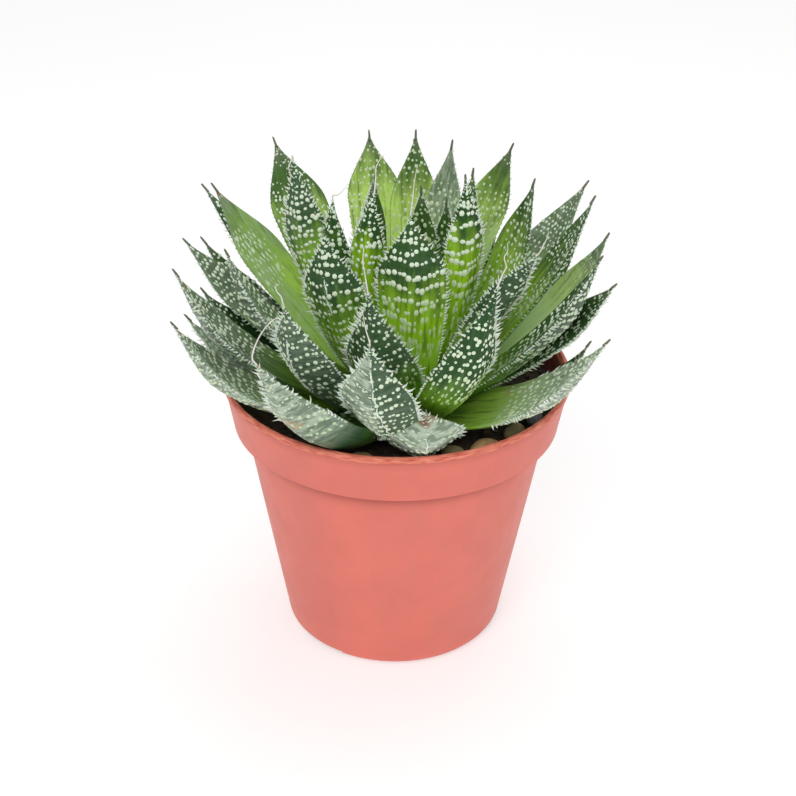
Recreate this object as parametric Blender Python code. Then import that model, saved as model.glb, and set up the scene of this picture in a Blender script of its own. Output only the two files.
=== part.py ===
# Potted lace aloe: a thin-walled nursery pot, its soil, loose pebbles and one rosette.
# Metres, +Z up. The origin is on the pot's axis, on the face that the pot stands on.
# The front of the plant faces -Y.

import math

import bpy
import numpy as np

MM = 0.001

# Pot
RIM_RADIUS = 50.8 * MM
POT_HEIGHT = 84.5 * MM
WALL = 1.2 * MM
LIP_HEIGHT = 1.8 * MM
LIP_WIDTH = 2.0 * MM
COLLAR_DEPTH = 15.3 * MM
COLLAR_BOTTOM_RADIUS = 47.9 * MM
BODY_TOP_RADIUS = 44.5 * MM
BASE_RADIUS = 32.4 * MM
BASE_CORNER = 4.0 * MM
POT_SIDES = 48
NOTCH_WIDTH = 16.5 * MM
NOTCH_HEIGHT = 2.2 * MM
NOTCH_DEPTH = 6.0 * MM
NOTCH_OVERCUT = 4.0 * MM
NOTCH_AZIMUTHS = (-133.0, -13.0, 107.0)

# Soil
GAP = 0.3 * MM
SOIL_LEVEL = 76.0 * MM
SOIL_LUMP = 0.8 * MM
LUMP_ACROSS = 3.1 * MM
LUMP_ALONG = 3.7 * MM
LUMP_SLANT = 5.3 * MM
SOIL_SIDES = 40
SOIL_RINGS = 7

# Pebbles lying on the soil at the front: x, y, length, width and height in mm, turn in degrees
PEBBLES = (
    (24.8, -33.6, 9.5, 6.5, 4.5, 35),
    (15.6, -36.8, 6.5, 5.0, 4.0, -20),
    (-9.5, -41.2, 8.0, 5.5, 4.0, 10),
    (33.2, -25.0, 7.0, 5.5, 4.5, 60),
    (39.5, -17.5, 6.0, 5.0, 4.0, 75),
)
PEBBLE_SWELL = 0.10
PEBBLE_FLAT = 0.8

# Rosette
AXIS_X = 4.0 * MM
AXIS_Y = -12.0 * MM
STEM_RADIUS = 6.0 * MM
STEM_FOOT = 60.0 * MM
HOLE_DEPTH = 40.0 * MM
CROWN_RADIUS = 12.0 * MM
CROWN_BOTTOM = 77.6 * MM
CROWN_TOP = 104.0 * MM
INNER_ROOT_RADIUS = 5.0 * MM
OUTER_ROOT_RADIUS = 9.0 * MM
OUTER_ROOT_HEIGHT = 80.5 * MM
INNER_ROOT_HEIGHT = 88.0 * MM
WIDEST_REACH = 65.0 * MM
ROOT_CURVE = 1.6
TIP_CURVE = 1.6
LEAF_DEPTH = 0.58
DEEPEST_ROOT = 0.71
BELLY_AT_ROOT = 0.45
BELLY_AT_TIP = 0.15
LEAF_STATIONS = (0.0, 0.28, 0.42, 0.56, 0.70, 0.81, 0.91)
TEETH_FROM = 0.3
TEETH_A_STATION = 2
TOOTH_LENGTH = 1.4 * MM
TOOTH_BASE = 1.1 * MM

# Leaves, one row each: azimuth (degrees, 0 to the right, 90 to the back), reach of the tip from
# the rosette's axis, height of the tip above the foot, width, how far the middle hangs below a
# straight line, all in mm, then the roll about the leaf's own line in degrees, how far the middle
# bends sideways, in mm, counter-clockwise seen from above, where along it the leaf is widest, and
# the breadth of its root as a share of the widest.
LEAVES = (
    # Back, upright, their inner faces to the front
    (126, 71, 137, 17, 4, -15, 0, 0.74, 0.66),
    (105, 50, 143, 16, 5, 0, 0, 0.76, 0.66),
    (89, 39, 147, 14, 4, 0, 0, 0.70, 0.66),
    (72, 36, 146, 12, 3, 0, 1, 0.68, 0.66),
    (54, 49, 143, 14, 5, 0, 5, 0.74, 0.66),
    # Right, from the upper ones down
    (22, 36, 143, 16, 3, 0, 0, 0.68, 0.66),
    (36, 63, 133, 15, 3, 0, 3, 0.68, 0.66),
    (8, 50, 141, 13, 4, 0, 3, 0.68, 0.66),
    (40, 68, 119, 11, 5, 0, 0, 0.68, 0.66),
    (12, 56, 128, 17, 5, 0, 0, 0.68, 0.66),
    (-16, 52, 133, 16, 4, 0, 0, 0.68, 0.66),
    (4, 57, 116, 18, 2.5, 0, 0, 0.68, 0.66),
    (4, 51, 98, 9, 9, 0, 0, 0.68, 0.66),
    (-26, 58, 114, 19, 5, 8, -6, 0.60, 1.2),
    # Left, from the upper ones down
    (144, 77, 127, 11, 2, 0, -1, 0.68, 0.66),
    (155, 63, 135, 14, 4, -20, -3, 0.68, 0.66),
    (146, 76, 111, 10, 5, 0, 0, 0.68, 1.0),
    (160, 70, 119, 15.5, 3, 0, 0, 0.68, 1.0),
    (190, 51, 131, 17, 5, 0, 0, 0.68, 0.66),
    (188, 65, 125, 17, 7, 0, 0, 0.68, 0.66),
    (172, 65, 102, 13, 8, 0, 0, 0.68, 1.0),
    (196, 67, 114, 19, 8, 0, 2, 0.68, 0.66),
    # Front, their outer faces to the front
    (224, 57, 115, 21, 9, 22, 8, 0.60, 0.76),
    (222, 45, 126, 20, 7, 10, 1, 0.68, 0.66),
    (250, 34, 131, 21, 5, 0, 1.5, 0.52, 0.66),
    (257, 48, 124, 20, 10, 0, 1, 0.68, 0.66),
    (276, 37, 98.5, 21, 8, 0, 0, 0.80, 0.66),
    (302, 41, 135, 21, 8, 0, -6, 0.52, 0.66),
    (334, 37, 135, 11, -2, -40, 2, 0.68, 0.66),
    (232, 40, 93, 19, 3.5, 0, 0, 0.62, 0.80),
    # Inner ring
    (165, 34, 151, 13, 5, 85, 0, 0.68, 0.66),
    (172, 22, 142, 12, 4, 55, 0, 0.68, 0.66),
    (210, 27, 139, 18, 4, 40, 0, 0.68, 0.66),
    (200, 11, 147, 10, 4, 60, 0, 0.68, 0.66),
    (265, 8, 142, 19, 4, 0, 1, 0.68, 0.66),
    (75, 8, 143, 9, 2, 0, 0, 0.68, 0.66),
    (52, 15, 138, 9, 2, 0, 0, 0.68, 0.66),
    (-14, 14, 151, 11.5, 3, -50, 0, 0.68, 0.66),
    (44, 23, 145, 11, 2, 0, 0, 0.68, 0.66),
    (150, 12, 147, 15, 3, 0, 0, 0.68, 0.66),
    # Low at the back and left, behind the others
    (64, 58, 110, 17, 7, 0, 0, 0.68, 0.66),
    (90, 58, 112, 17, 7, 0, 0, 0.68, 0.66),
    (118, 58, 110, 17, 7, 0, 0, 0.68, 0.66),
    (172, 60, 111, 17, 6, 0, 0, 0.68, 0.90),
)


def clear_scene():
    for item in list(bpy.data.objects):
        bpy.data.objects.remove(item)


def material(name, colour, roughness):
    made = bpy.data.materials.new(name)
    made.use_nodes = True
    shader = made.node_tree.nodes["Principled BSDF"]
    shader.inputs["Base Color"].default_value = (*colour, 1.0)
    shader.inputs["Roughness"].default_value = roughness
    shader.inputs["Metallic"].default_value = 0.0
    return made


def mesh_object(name, points, faces, finish):
    mesh = bpy.data.meshes.new(name)
    mesh.from_pydata([tuple(point) for point in points], [], faces)
    mesh.materials.append(finish)
    mesh.update()
    made = bpy.data.objects.new(name, mesh)
    bpy.context.collection.objects.link(made)
    return made


def turned(name, profile, sides, finish):
    """A closed solid turned about Z. The profile starts and ends on the axis, bottom to top."""
    points = [(0.0, 0.0, profile[0][1])]
    for radius, height in profile[1:-1]:
        for side in range(sides):
            angle = 2 * math.pi * side / sides
            points.append((radius * math.cos(angle), radius * math.sin(angle), height))
    points.append((0.0, 0.0, profile[-1][1]))
    rings = len(profile) - 2
    last = len(points) - 1
    faces = []
    for side in range(sides):
        after = (side + 1) % sides
        faces.append((0, 1 + after, 1 + side))
        for ring in range(rings - 1):
            low = 1 + ring * sides
            high = low + sides
            faces.append((low + side, low + after, high + after, high + side))
        top = 1 + (rings - 1) * sides
        faces.append((last, top + side, top + after))
    return mesh_object(name, points, faces, finish)


def cut(target, cutters):
    """Takes the cutters out of the target and removes them."""
    for cutter in cutters:
        step = target.modifiers.new("cut", "BOOLEAN")
        step.operation = "DIFFERENCE"
        step.solver = "EXACT"
        step.object = cutter
        bpy.context.view_layer.objects.active = target
        bpy.ops.object.modifier_apply(modifier=step.name)
        bpy.data.objects.remove(cutter)


def body_radius(height):
    """Outer radius of the pot's tapered body."""
    share = height / (POT_HEIGHT - COLLAR_DEPTH)
    return BASE_RADIUS + (BODY_TOP_RADIUS - BASE_RADIUS) * share


def pot_profile():
    """Outer side up, over the lip, and down the inside."""
    shoulder = POT_HEIGHT - COLLAR_DEPTH
    points = [(0.0, 0.0)]
    for step in range(5):
        angle = math.radians(90 * step / 4)
        inset = BASE_CORNER * (1 - math.sin(angle))
        lift = BASE_CORNER * (1 - math.cos(angle))
        points.append((body_radius(lift) - inset, lift))
    points += [
        (BODY_TOP_RADIUS, shoulder - 0.8 * MM),
        (COLLAR_BOTTOM_RADIUS - 0.5 * MM, shoulder - 0.2 * MM),
        (COLLAR_BOTTOM_RADIUS, shoulder + 0.4 * MM),
        (RIM_RADIUS - 0.5 * MM, POT_HEIGHT - LIP_HEIGHT),
        (RIM_RADIUS, POT_HEIGHT - 0.7 * LIP_HEIGHT),
        (RIM_RADIUS - 0.3 * MM, POT_HEIGHT - 0.2 * LIP_HEIGHT),
        (RIM_RADIUS - 0.4 * LIP_WIDTH, POT_HEIGHT),
        (RIM_RADIUS - 0.9 * LIP_WIDTH, POT_HEIGHT - 0.2 * LIP_HEIGHT),
        (RIM_RADIUS - LIP_WIDTH, POT_HEIGHT - LIP_HEIGHT),
        (COLLAR_BOTTOM_RADIUS - WALL, shoulder + WALL),
        (BODY_TOP_RADIUS - WALL, shoulder),
        (body_radius(2 * BASE_CORNER) - WALL, 2 * BASE_CORNER),
        (body_radius(WALL) - 0.9 * BASE_CORNER, WALL),
        (0.0, WALL),
    ]
    return points


def make_pot():
    plastic = material("terracotta_plastic", (0.73, 0.21, 0.16), 0.45)
    pot = turned("pot", pot_profile(), POT_SIDES, plastic)
    cutters = []
    for azimuth in NOTCH_AZIMUTHS:
        bpy.ops.mesh.primitive_cube_add(size=1)
        cutter = bpy.context.object
        angle = math.radians(azimuth)
        reach = BASE_RADIUS - 0.5 * NOTCH_DEPTH + 0.5 * NOTCH_OVERCUT
        cutter.scale = (NOTCH_DEPTH + NOTCH_OVERCUT, NOTCH_WIDTH, 2 * NOTCH_HEIGHT)
        cutter.rotation_euler = (0, 0, angle)
        cutter.location = (reach * math.cos(angle), reach * math.sin(angle), 0)
        cutters.append(cutter)
    cut(pot, cutters)
    pot.data.shade_smooth()
    pot.data.set_sharp_from_angle(angle=math.radians(35))
    return pot


def soil_height(x, y):
    """Lumpy top of the soil, from a few crossed waves."""
    lump = math.sin(x / LUMP_ACROSS) * math.cos(y / LUMP_ALONG) + 0.6 * math.sin((x + 2 * y) / LUMP_SLANT)
    return SOIL_LEVEL + 0.5 * SOIL_LUMP * lump


def inner_radius(height):
    """Radius of the soil beside the pot's inner wall."""
    shoulder = POT_HEIGHT - COLLAR_DEPTH
    if height >= shoulder + WALL:
        share = (height - shoulder) / (COLLAR_DEPTH - LIP_HEIGHT)
        low = COLLAR_BOTTOM_RADIUS - WALL
        return low + (RIM_RADIUS - LIP_WIDTH - low) * share - 2 * GAP
    return body_radius(height) - WALL - 2 * GAP


def make_soil():
    earth = material("soil", (0.03, 0.022, 0.018), 0.95)
    floor = WALL + GAP
    shoulder = POT_HEIGHT - COLLAR_DEPTH
    sides = SOIL_SIDES
    outline = [
        (body_radius(WALL) - 1.3 * BASE_CORNER, floor),
        (inner_radius(3 * BASE_CORNER), 3 * BASE_CORNER),
        (BODY_TOP_RADIUS - WALL - 2 * GAP, shoulder + GAP),
        (COLLAR_BOTTOM_RADIUS - WALL - 2 * GAP, shoulder + WALL + 2 * GAP),
    ]
    rim = inner_radius(SOIL_LEVEL)
    points = [(0.0, 0.0, floor)]
    for radius, height in outline:
        for side in range(sides):
            angle = 2 * math.pi * side / sides
            points.append((radius * math.cos(angle), radius * math.sin(angle), height))
    for ring in range(SOIL_RINGS):
        radius = rim * (1 - ring / SOIL_RINGS)
        for side in range(sides):
            angle = 2 * math.pi * side / sides
            x = radius * math.cos(angle)
            y = radius * math.sin(angle)
            points.append((x, y, soil_height(x, y)))
    points.append((0.0, 0.0, soil_height(0.0, 0.0)))
    rings = len(outline) + SOIL_RINGS
    last = len(points) - 1
    faces = []
    for side in range(sides):
        after = (side + 1) % sides
        faces.append((0, 1 + after, 1 + side))
        for ring in range(rings - 1):
            low = 1 + ring * sides
            high = low + sides
            faces.append((low + side, low + after, high + after))
            faces.append((low + side, high + after, high + side))
        top = 1 + (rings - 1) * sides
        faces.append((last, top + side, top + after))
    soil = mesh_object("soil", points, faces, earth)
    bpy.ops.mesh.primitive_cylinder_add(vertices=16, radius=STEM_RADIUS + 2 * GAP, depth=HOLE_DEPTH)
    hole = bpy.context.object
    hole.location = (AXIS_X, AXIS_Y, STEM_FOOT - GAP + 0.5 * HOLE_DEPTH)
    cut(soil, [hole])
    return soil


def make_pebble(number, row):
    x, y, length, width, height, turn = row
    stone = material(f"pebble_{number}", (0.50, 0.40, 0.27), 0.8)
    bpy.ops.mesh.primitive_ico_sphere_add(subdivisions=2, radius=1.0)
    pebble = bpy.context.object
    pebble.name = f"pebble_{number}"
    pebble.data.materials.append(stone)
    x *= MM
    y *= MM
    angle = math.radians(turn)
    for vertex in pebble.data.vertices:
        a, b, c = vertex.co
        swell = 1 + PEBBLE_SWELL * math.sin(2.3 * a + number) * math.cos(1.9 * b - 2 * number)
        along = 0.5 * length * MM * a * swell
        across = 0.5 * width * MM * b * swell
        lift = 0.5 * height * MM * max(c, -PEBBLE_FLAT) * swell
        vertex.co = (
            along * math.cos(angle) - across * math.sin(angle),
            along * math.sin(angle) + across * math.cos(angle),
            lift,
        )
    spots = [vertex.co for vertex in pebble.data.vertices]
    ground = max(soil_height(x + spot.x, y + spot.y) - spot.z for spot in spots)
    pebble.location = (x, y, ground + GAP)
    pebble.data.shade_smooth()
    return pebble


def leaf_width(share, peak, root):
    """Half-breadth of a leaf along its line, as a share of its widest, which is at the peak."""
    if share < peak:
        return 1 - (1 - root) * ((peak - share) / peak) ** ROOT_CURVE
    from_tip = (1 - share) / (1 - peak)
    return 1 - (1 - from_tip ** TIP_CURVE) ** 2


def leaf_line(azimuth, reach, height, sag, roll, bend):
    """A function that gives a leaf's mid line with its side and upper directions."""
    angle = math.radians(azimuth)
    out = np.array([math.cos(angle), math.sin(angle), 0.0])
    side = np.array([-math.sin(angle), math.cos(angle), 0.0])
    up = np.array([0.0, 0.0, 1.0])
    foot = np.array([AXIS_X, AXIS_Y, 0.0])
    lowness = min(reach / WIDEST_REACH, 1.0)
    root_height = INNER_ROOT_HEIGHT + (OUTER_ROOT_HEIGHT - INNER_ROOT_HEIGHT) * lowness
    root_radius = INNER_ROOT_RADIUS + (OUTER_ROOT_RADIUS - INNER_ROOT_RADIUS) * lowness
    start = np.array([root_radius, root_height])
    end = np.array([reach, height])
    chord = end - start
    below = np.array([chord[1], -chord[0]]) / np.hypot(*chord)
    middle = (start + end) / 2 + 2 * sag * below

    def at(share):
        place = (1 - share) ** 2 * start + 2 * share * (1 - share) * middle + share ** 2 * end
        heading = (1 - share) * (middle - start) + share * (end - middle)
        heading = heading / np.hypot(*heading)
        swing = 4 * bend * share * (1 - share)
        centre = foot + place[0] * out + place[1] * up + swing * side
        upper = heading[0] * up - heading[1] * out
        turn = math.radians(roll)
        across = math.cos(turn) * side + math.sin(turn) * upper
        face = math.cos(turn) * upper - math.sin(turn) * side
        return centre, across, face

    return at


def strip(first, second):
    """Faces between two chains that run the same way, the second on the right."""
    made = []
    one = 0
    two = 0
    while one < len(first) - 1 or two < len(second) - 1:
        second_done = two == len(second) - 1
        first_behind = one * (len(second) - 1) <= two * (len(first) - 1)
        if second_done or (one < len(first) - 1 and first_behind):
            made.append((first[one], second[two], first[one + 1]))
            one += 1
        else:
            made.append((first[one], second[two], second[two + 1]))
            two += 1
    return made


def leaf_mesh(row):
    """Points and faces of one closed leaf with toothed edges."""
    azimuth, reach, height, width, sag, roll, bend, peak, root = row
    at = leaf_line(azimuth, reach * MM, height * MM, sag * MM, roll, bend * MM)
    half = width * MM / 2
    length = math.hypot(reach * MM, height * MM - OUTER_ROOT_HEIGHT)
    points = []
    faces = []

    def add(point):
        points.append(point)
        return len(points) - 1

    def margin(share, direction, out=0.0):
        centre, across, face = at(share)
        return centre + direction * across * (half * leaf_width(share, peak, root) + out)

    def belly(share):
        """The two lower corners of the leaf's section."""
        centre, across, face = at(share)
        breadth = half * leaf_width(share, peak, root)
        depth = LEAF_DEPTH * half * leaf_width(share, peak, min(root, DEEPEST_ROOT))
        spread = BELLY_AT_ROOT + (BELLY_AT_TIP - BELLY_AT_ROOT) * share
        left = add(centre + spread * across * breadth - depth * face)
        right = add(centre - spread * across * breadth - depth * face)
        return left, right

    def edge(share, after, direction):
        """Margin points up to the next station, above and below the teeth that stand there."""
        start = add(margin(share, direction))
        above = [start]
        below = [start]
        pitch = (after - share) / TEETH_A_STATION
        half_base = 0.5 * TOOTH_BASE / length
        for tooth in range(TEETH_A_STATION if after > TEETH_FROM else 0):
            middle = share + pitch * (tooth + 0.5)
            near = add(margin(middle - half_base, direction))
            far = add(margin(middle + half_base, direction))
            point = add(margin(middle + half_base, direction, TOOTH_LENGTH))
            centre, across, face = at(middle)
            inset = 0.6 * TOOTH_BASE
            under = add(margin(middle, direction, -0.5 * inset) - inset * face)
            above += [near, far]
            below += [near, under, far]
            corners = [(near, far, point), (near, point, under), (under, point, far)]
            faces.extend(corner[::direction] for corner in corners)
        return above, below

    shares = LEAF_STATIONS
    spans = list(zip(shares, shares[1:]))
    bellies = [belly(share) for share in shares]
    margins = {}
    for direction in (1, -1):
        parts = [edge(share, after, direction) for share, after in spans]
        end = add(margin(shares[-1], direction))
        starts = [part[0][0] for part in parts[1:]] + [end]
        chains = []
        for (above, below), following in zip(parts, starts):
            chains.append((above + [following], below + [following]))
        margins[direction] = chains
    for number in range(len(spans)):
        left_above, left_below = margins[1][number]
        right_above, right_below = margins[-1][number]
        low = bellies[number]
        high = bellies[number + 1]
        faces += strip(left_above, right_above)
        faces += strip([low[0], high[0]], left_below)
        faces += strip([low[1], high[1]], [low[0], high[0]])
        faces += strip(right_below, [low[1], high[1]])
    first = [margins[1][0][0][0], bellies[0][0], bellies[0][1], margins[-1][0][0][0]]
    faces += [(first[0], first[1], first[2]), (first[0], first[2], first[3])]
    last = [margins[1][-1][0][-1], bellies[-1][0], bellies[-1][1], margins[-1][-1][0][-1]]
    tip = add(at(1.0)[0])
    faces += [(last[(k + 1) % 4], last[k], tip) for k in range(4)]
    return points, faces


def make_rosette():
    flesh = material("leaf_flesh", (0.10, 0.20, 0.03), 0.5)
    profile = [
        (0.0, STEM_FOOT),
        (STEM_RADIUS, STEM_FOOT),
        (STEM_RADIUS, CROWN_BOTTOM),
        (0.9 * CROWN_RADIUS, CROWN_BOTTOM + 1 * MM),
        (CROWN_RADIUS, CROWN_BOTTOM + 8 * MM),
        (0.75 * CROWN_RADIUS, CROWN_TOP - 6 * MM),
        (0.0, CROWN_TOP),
    ]
    stem = turned("rosette", profile, 16, flesh)
    stem.location = (AXIS_X, AXIS_Y, 0)
    leaves = bpy.data.collections.new("leaves")
    bpy.context.scene.collection.children.link(leaves)
    for number, row in enumerate(LEAVES):
        points, faces = leaf_mesh(row)
        leaf = mesh_object(f"leaf_{number + 1}", points, faces, flesh)
        bpy.context.collection.objects.unlink(leaf)
        leaves.objects.link(leaf)
    join = stem.modifiers.new("join", "BOOLEAN")
    join.operation = "UNION"
    join.solver = "EXACT"
    join.operand_type = "COLLECTION"
    join.collection = leaves
    bpy.context.view_layer.objects.active = stem
    bpy.ops.object.modifier_apply(modifier=join.name)
    for leaf in list(leaves.objects):
        bpy.data.objects.remove(leaf)
    bpy.data.collections.remove(leaves)
    return stem


def main():
    clear_scene()
    make_pot()
    make_soil()
    for number, row in enumerate(PEBBLES, 1):
        make_pebble(number, row)
    make_rosette()


main()
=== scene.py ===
import math
import random

import bmesh
import bpy
import numpy as np
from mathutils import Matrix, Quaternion, Vector, noise


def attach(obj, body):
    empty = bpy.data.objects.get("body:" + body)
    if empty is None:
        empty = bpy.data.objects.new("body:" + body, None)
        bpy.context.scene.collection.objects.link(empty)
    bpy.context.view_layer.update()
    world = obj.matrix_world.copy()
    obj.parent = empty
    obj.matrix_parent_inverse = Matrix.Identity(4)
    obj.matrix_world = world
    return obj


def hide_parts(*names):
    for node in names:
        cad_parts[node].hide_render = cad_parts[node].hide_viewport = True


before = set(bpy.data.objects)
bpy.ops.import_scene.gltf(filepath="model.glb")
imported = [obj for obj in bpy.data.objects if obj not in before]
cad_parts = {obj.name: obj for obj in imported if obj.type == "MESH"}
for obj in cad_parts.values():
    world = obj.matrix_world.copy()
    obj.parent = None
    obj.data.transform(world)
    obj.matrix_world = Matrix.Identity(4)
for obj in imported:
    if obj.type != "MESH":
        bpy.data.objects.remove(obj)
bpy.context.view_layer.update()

# Looks of the potted lace aloe: pot, soil, pebbles and the rosette with its dots, teeth and threads.
# Metres, +Z up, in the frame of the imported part. The front of the plant faces -Y.

MM = 0.001
BODY = "root"
SEED = 7

# Pot, as in the part
RIM_RADIUS = 50.8 * MM
POT_HEIGHT = 84.5 * MM
WALL = 1.2 * MM
LIP_HEIGHT = 1.8 * MM
LIP_WIDTH = 2.0 * MM
COLLAR_DEPTH = 15.3 * MM
COLLAR_BOTTOM_RADIUS = 47.9 * MM
BODY_TOP_RADIUS = 44.5 * MM
BASE_RADIUS = 32.4 * MM
BASE_CORNER = 4.0 * MM
SHOULDER = POT_HEIGHT - COLLAR_DEPTH
NOTCH_WIDTH = 16.5 * MM
NOTCH_HEIGHT = 2.2 * MM
NOTCH_DEPTH = 6.0 * MM
NOTCH_AZIMUTHS = (-133.0, -13.0, 107.0)

# Soil, as in the part
GAP = 0.3 * MM
SOIL_LEVEL = 76.0 * MM
SOIL_LUMP = 0.8 * MM

# How finely the soil's top is meshed, and how many crumbs are strewn over it
SOIL_RINGS = 70
SOIL_SIDES = 200
CRUMBS = 900

# Pebbles, as in the part: x, y, length, width and height in mm, turn in degrees
PEBBLES = (
    (24.8, -33.6, 9.5, 6.5, 4.5, 35),
    (15.6, -36.8, 6.5, 5.0, 4.0, -20),
    (-9.5, -41.2, 8.0, 5.5, 4.0, 10),
    (33.2, -25.0, 7.0, 5.5, 4.5, 60),
    (39.5, -17.5, 6.0, 5.0, 4.0, 75),
)

# Rosette, as in the part
AXIS_X = 4.0 * MM
AXIS_Y = -12.0 * MM
STEM_RADIUS = 6.0 * MM
STEM_FOOT = 60.0 * MM
CROWN_RADIUS = 12.0 * MM
CROWN_BOTTOM = 77.6 * MM
CROWN_TOP = 104.0 * MM
INNER_ROOT_RADIUS = 5.0 * MM
OUTER_ROOT_RADIUS = 9.0 * MM
OUTER_ROOT_HEIGHT = 80.5 * MM
INNER_ROOT_HEIGHT = 88.0 * MM
WIDEST_REACH = 65.0 * MM
ROOT_CURVE = 1.6
TIP_CURVE = 1.6
LEAF_DEPTH = 0.58
DEEPEST_ROOT = 0.71
HOLLOW = 0.14
RIM_THICKNESS = 0.25 * MM
KEEL_AT_ROOT = 1.9
KEEL_AT_TIP = 1.1
LENGTH_OVER_CHORD = 1.03

# How many points a leaf's skin has along it, and across its inner and its outer face
STATIONS = 46
INNER_COLUMNS = 11
OUTER_COLUMNS = 15

# Leaves, as in the part, by name: azimuth (degrees, 0 to the right, 90 to the back), reach of the
# tip, its height, width and sag in mm, then roll in degrees, sideways bend in mm, widest place, and
# the breadth of the root as a share of the widest. Last values that are the usual ones are left out.
USUAL_SHAPE = (0, 0, 0.68, 0.66)
LEAVES = {
    "back_1": (126, 71, 137, 17, 4, -15, 0, 0.74), "back_2": (105, 50, 143, 16, 5, 0, 0, 0.76),
    "back_3": (89, 39, 147, 14, 4, 0, 0, 0.70), "back_4": (72, 36, 146, 12, 3, 0, 1),
    "back_5": (54, 49, 143, 14, 5, 0, 5, 0.74), "right_1": (22, 36, 143, 16, 3),
    "right_2": (36, 63, 133, 15, 3, 0, 3), "right_3": (8, 50, 141, 13, 4, 0, 3),
    "right_4": (40, 68, 119, 11, 5), "right_5": (12, 56, 128, 17, 5),
    "right_6": (-16, 52, 133, 16, 4), "right_7": (4, 57, 116, 18, 2.5),
    "right_8": (4, 51, 98, 9, 9), "right_9": (-26, 58, 114, 19, 5, 8, -6, 0.60, 1.2),
    "left_1": (144, 77, 127, 11, 2, 0, -1), "left_2": (155, 63, 135, 14, 4, -20, -3),
    "left_3": (146, 76, 111, 10, 5, 0, 0, 0.68, 1.0), "left_4": (160, 70, 119, 15.5, 3, 0, 0, 0.68, 1.0),
    "left_5": (190, 51, 131, 17, 5), "left_6": (188, 65, 125, 17, 7),
    "left_7": (172, 65, 102, 13, 8, 0, 0, 0.68, 1.0), "left_8": (196, 67, 114, 19, 8, 0, 2),
    "front_1": (224, 57, 115, 21, 9, 22, 8, 0.60, 0.76), "front_2": (222, 45, 126, 20, 7, 10, 1),
    "front_3": (250, 34, 131, 21, 5, 0, 1.5, 0.52), "front_4": (257, 48, 124, 20, 10, 0, 1),
    "front_5": (276, 37, 98.5, 21, 8, 0, 0, 0.80), "front_6": (302, 41, 135, 21, 8, 0, -6, 0.52),
    "front_7": (334, 37, 135, 11, -2, -40, 2), "front_8": (232, 40, 93, 19, 3.5, 0, 0, 0.62, 0.80),
    "inner_1": (165, 34, 151, 13, 5, 85, 0), "inner_2": (172, 22, 142, 12, 4, 55, 0),
    "inner_3": (210, 27, 139, 18, 4, 40, 0), "inner_4": (200, 11, 147, 10, 4, 60, 0),
    "inner_5": (265, 8, 142, 19, 4, 0, 1), "inner_6": (75, 8, 143, 9, 2),
    "inner_7": (52, 15, 138, 9, 2), "inner_8": (-14, 14, 151, 11.5, 3, -50, 0),
    "inner_9": (44, 23, 145, 11, 2), "inner_10": (150, 12, 147, 15, 3),
    "low_1": (64, 58, 110, 17, 7), "low_2": (90, 58, 112, 17, 7),
    "low_3": (118, 58, 110, 17, 7), "low_4": (172, 60, 111, 17, 6, 0, 0, 0.68, 0.90),
}

# Looks of the leaves, by name or group: how bright the flesh is, from where on the inner face and
# the outer face are dark, how frosted the leaf is, and how far its dots join into bands
LOOKS = {
    "back": (1.00, 0.78, 0.50, 0.0, 0.2), "right": (0.62, 0.62, 0.42, 0.0, 0.3),
    "left": (0.25, 0.45, 0.36, 0.15, 0.3), "front": (0.45, 0.60, 0.44, 0.12, 0.2),
    "inner": (0.90, 0.60, 0.62, 0.0, 0.5), "low": (0.30, 0.50, 0.36, 0.0, 0.3),
    "back_1": (0.88, 0.70, 0.50, 0.0, 0.2), "back_2": (1.00, 0.86, 0.50, 0.0, 0.2),
    "back_4": (0.80, 0.66, 0.50, 0.7, 0.2), "left_1": (0.05, 0.40, 0.30, 0.0, 0.2),
    "left_2": (0.56, 0.90, 0.40, 0.42, 0.0), "left_4": (0.25, 0.50, 0.36, 0.35, 0.3),
    "left_5": (0.25, 0.50, 0.36, 0.35, 0.3), "left_6": (0.20, 0.50, 0.30, 0.40, 0.3),
    "left_7": (0.50, 0.45, 0.36, 1.25, 0.3), "left_8": (0.50, 0.66, 0.40, 0.70, 0.3),
    "right_1": (0.70, 0.72, 0.50, 0.0, 0.2), "right_2": (0.55, 0.62, 0.42, 0.42, 0.3),
    "right_5": (1.00, 0.80, 0.45, 0.30, 0.3), "right_6": (0.30, 0.34, 0.44, 0.1, 0.3),
    "right_7": (0.24, 0.26, 0.34, 0.0, 0.3), "right_9": (0.72, 0.62, 0.36, 0.90, 0.3),
    "front_1": (0.30, 0.50, 0.30, 0.95, 0.25), "front_2": (0.35, 0.50, 0.34, 0.25, 0.4),
    "front_3": (0.70, 0.60, 0.50, 0.10, 0.1), "front_4": (0.35, 0.50, 0.26, 0.95, 0.4),
    "front_5": (0.50, 0.50, 0.10, 1.2, 0.5), "front_6": (0.62, 0.60, 0.50, 0.0, 0.1),
    "front_8": (0.20, 0.30, 0.30, 0.0, 0.0), "low_4": (0.05, 0.30, 0.30, 0.0, 0.0),
    "inner_1": (0.80, 0.60, 0.66, 0.1, 0.3), "inner_2": (0.90, 0.60, 0.70, 0.0, 0.3),
    "inner_3": (0.78, 0.60, 0.62, 0.05, 0.6), "inner_4": (0.90, 0.60, 0.74, 0.0, 0.1),
    "inner_5": (1.00, 0.60, 0.60, 0.05, 1.0), "inner_8": (0.90, 0.60, 0.72, 0.0, 1.0),
}

# Thin white crests on the outer faces of some leaves: from and to which share, and where across it
# the crest starts
CRESTS = {
    "front_2": (0.55, 0.85, 0.0),
    "front_4": (0.34, 0.93, 0.30),
    "front_5": (0.30, 0.90, 0.18),
    "inner_3": (0.62, 0.80, 0.0),
}

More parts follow.
